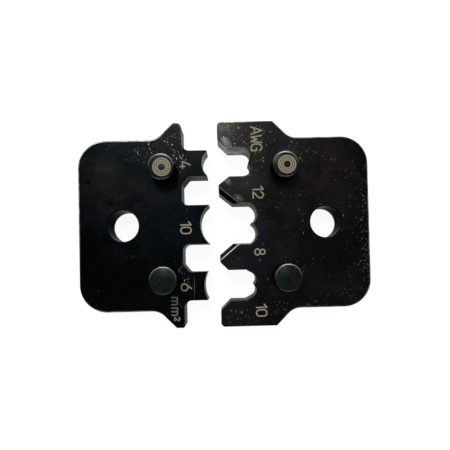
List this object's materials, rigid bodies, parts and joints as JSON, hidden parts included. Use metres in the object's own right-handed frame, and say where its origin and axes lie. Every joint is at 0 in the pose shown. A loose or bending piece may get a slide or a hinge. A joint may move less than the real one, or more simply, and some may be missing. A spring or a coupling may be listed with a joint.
{
  "type": "crimp die set",
  "caption": "Two-part crimp die for hand pliers: an anvil plate and a nest plate with locating pins and bolt holes that close on a row of crimp stations.",
  "frame": {"origin": "centre of the set's footprint at rest, on the face it lies on, which is midway between the two bolt holes", "axes": "+X along the closing stroke from the anvil die to the nest die, +Y along the row of stations, +Z towards the face with the pins"},
  "size_m": [0.051, 0.036, 0.014],
  "materials": {
    "black_oxide_nest": "satin black oxide, lightly scratched",
    "black_oxide_anvil": "satin black oxide, lightly scratched",
    "pin_steel": "ground and blackened"
  },
  "bodies": {
    "nest_die": {"nest_plate": "black_oxide_nest", "nest_ring_pin": "pin_steel", "nest_plain_pin": "pin_steel"},
    "anvil_die": {"anvil_plate": "black_oxide_anvil", "anvil_ring_pin": "pin_steel", "anvil_plain_pin": "pin_steel"}
  },
  "joints": [
    {"name": "crimp_stroke", "type": "slide", "parent": "nest_die", "child": "anvil_die", "axis": [1, 0, 0], "range_m": [-0.006, 0.00625]}
  ]
}
